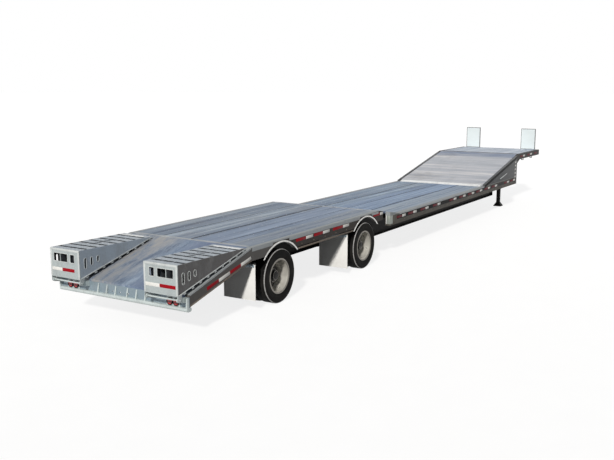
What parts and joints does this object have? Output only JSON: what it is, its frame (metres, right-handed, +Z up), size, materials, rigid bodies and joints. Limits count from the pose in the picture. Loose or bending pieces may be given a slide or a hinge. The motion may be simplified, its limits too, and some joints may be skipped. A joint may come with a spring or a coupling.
{
  "type": "double drop deck trailer",
  "caption": "Flatbed semi-trailer with a low centre deck, raised front and rear decks, a sloped tail and flip-over loading ramps.",
  "frame": {"origin": "on the ground, at the middle of the bounding box's underside", "axes": "+X forward along the trailer, towards the kingpin; +Y to the left side; +Z up"},
  "size_m": [17.965, 2.6, 2.24],
  "materials": {
    "tyre": "matte",
    "wheel": "polished",
    "flap": "satin",
    "white_paint": "satin",
    "red_lens": "gloss",
    "bright_trim": "satin",
    "galvanised": "satin",
    "deck": "satin",
    "grey_paint": "satin",
    "rubber": "matte",
    "black_paint": "satin"
  },
  "bodies": {
    "chassis": {"air_springs": "rubber", "air_tank": "black_paint", "axles": "black_paint", "brake_chambers": "black_paint", "coupler_plate": "black_paint", "crossmembers": "black_paint", "front_bolster": "grey_paint", "front_ramp_floor": "deck", "front_ramp_panels": "grey_paint", "front_ramp_sill": "galvanised", "headboards": "white_paint", "kingpin": "black_paint", "landing_gear_shaft": "black_paint", "landing_legs": "black_paint", "main_beams": "black_paint", "main_deck": "deck", "main_rails": "grey_paint", "mud_flap_bars": "black_paint", "mud_flaps": "flap", "neck_beams": "black_paint", "ramp_hinge_pins": "galvanised", "rear_beams": "black_paint", "rear_deck": "deck", "rear_rails": "grey_paint", "suspension_arms": "black_paint", "suspension_hangers": "black_paint", "tail_beam": "galvanised", "tail_floor": "deck", "tail_lamps": "red_lens", "tie_loops": "black_paint", "transition_floor": "deck", "upper_deck": "deck", "upper_rails": "grey_paint", "wheel_arch_trims": "bright_trim"},
    "rear_wheel_left": {"rear_wheels_left": "wheel", "rear_tyres_left": "tyre"},
    "rear_wheel_right": {"rear_wheels_right": "wheel", "rear_tyres_right": "tyre"},
    "front_wheel_left": {"front_wheels_left": "wheel", "front_tyres_left": "tyre"},
    "front_wheel_right": {"front_wheels_right": "wheel", "front_tyres_right": "tyre"},
    "ramp_left_body": {"ramp_left": "galvanised"},
    "ramp_right_body": {"ramp_right": "galvanised"}
  },
  "joints": [
    {"name": "rear_wheel_left_spin", "type": "hinge", "parent": "chassis", "child": "rear_wheel_left", "pos_m": [-6.3775, 0.9935, 0.4635], "axis": [0, 1, 0], "continuous": true},
    {"name": "rear_wheel_right_spin", "type": "hinge", "parent": "chassis", "child": "rear_wheel_right", "pos_m": [-6.3775, -0.9935, 0.4635], "axis": [0, 1, 0], "continuous": true},
    {"name": "front_wheel_left_spin", "type": "hinge", "parent": "chassis", "child": "front_wheel_left", "pos_m": [-3.3075, 0.9935, 0.4635], "axis": [0, 1, 0], "continuous": true},
    {"name": "front_wheel_right_spin", "type": "hinge", "parent": "chassis", "child": "front_wheel_right", "pos_m": [-3.3075, -0.9935, 0.4635], "axis": [0, 1, 0], "continuous": true},
    {"name": "ramp_left_flip", "type": "hinge", "parent": "chassis", "child": "ramp_left_body", "pos_m": [-8.9465, 0.9625, 0.62923], "axis": [0, -1, 0], "range_deg": [0, 185.1]},
    {"name": "ramp_right_flip", "type": "hinge", "parent": "chassis", "child": "ramp_right_body", "pos_m": [-8.9465, -0.9625, 0.62923], "axis": [0, -1, 0], "range_deg": [0, 185.1]}
  ]
}
